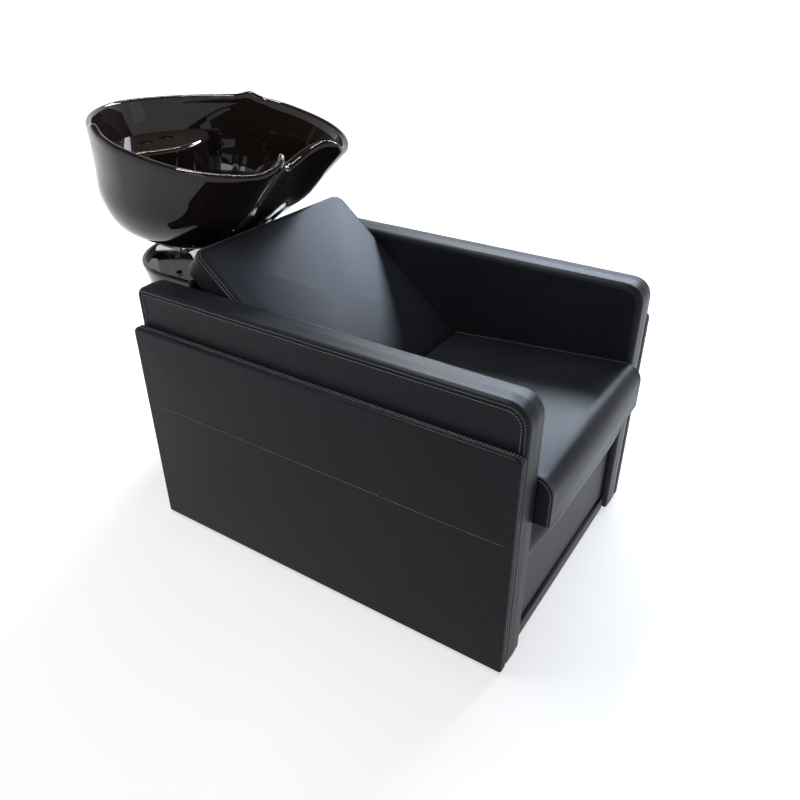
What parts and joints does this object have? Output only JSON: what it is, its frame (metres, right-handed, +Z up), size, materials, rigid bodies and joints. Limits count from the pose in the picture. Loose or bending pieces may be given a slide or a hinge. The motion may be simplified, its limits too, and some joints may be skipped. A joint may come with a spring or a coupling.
{
  "type": "backwash unit",
  "caption": "Salon backwash unit: an upholstered armchair with a reclined back and a tilting ceramic shampoo basin carried on a gloss column behind it.",
  "frame": {"origin": "on the floor, under the middle of the unit's bounding box", "axes": "+Z up, +Y from the chair towards the basin, +X to the sitter's left"},
  "size_m": [0.671, 1.282, 0.8843],
  "materials": {
    "leatherette": "charcoal-black fine-grained leatherette with a soft sheen",
    "timber": "plain sawn timber and board, hidden under the covers",
    "column_gloss": "black, mirror gloss",
    "black_glaze": "black glaze, mirror gloss",
    "rubber": "matt black",
    "painted_steel": "black powder coat",
    "dark_chrome": "dark bright chrome",
    "plated_steel": "zinc plated",
    "black_plastic": "black moulding"
  },
  "bodies": {
    "chair": {"access_cover": "column_gloss", "apron_board": "timber", "apron_pad": "leatherette", "arm_bottom_rail_left": "timber", "arm_bottom_rail_right": "timber", "arm_cover_left": "leatherette", "arm_cover_right": "leatherette", "arm_front_post_left": "timber", "arm_front_post_right": "timber", "arm_middle_post_left": "timber", "arm_middle_post_right": "timber", "arm_rear_post_left": "timber", "arm_rear_post_right": "timber", "arm_top_rail_left": "timber", "arm_top_rail_right": "timber", "back_board": "timber", "back_cleats": "timber", "back_cushion": "leatherette", "bracket_bolts": "dark_chrome", "bracket_nuts": "plated_steel", "column_shell": "column_gloss", "cover_screws": "dark_chrome", "cross_bolts": "painted_steel", "foot_plate": "painted_steel", "friction_washers": "rubber", "front_plinth": "leatherette", "front_seat_rail": "timber", "glides": "rubber", "head_plate": "painted_steel", "link_bars": "painted_steel", "pivot_nuts": "dark_chrome", "pivot_pin": "dark_chrome", "rear_base_rail": "timber", "rear_panel": "leatherette", "rear_seat_rail": "timber", "seat_board": "timber", "seat_cushion": "leatherette", "seat_screws": "plated_steel", "side_board_left": "timber", "side_board_right": "timber", "side_panel_left": "leatherette", "side_panel_right": "leatherette", "steel_post": "painted_steel", "tilt_bracket": "dark_chrome"},
    "basin": {"tilt_cradle": "plated_steel", "basin_gasket": "rubber", "cradle_bolts": "plated_steel", "basin": "black_glaze", "waste_strainer": "dark_chrome", "waste_seal": "rubber", "waste_nut": "black_plastic", "tailpiece": "black_plastic"}
  },
  "joints": [
    {"name": "basin_tilt", "type": "hinge", "parent": "chair", "child": "basin", "pos_m": [0, 0.4, 0.57], "axis": [-1, 0, 0], "range_deg": [-2, 14]}
  ]
}
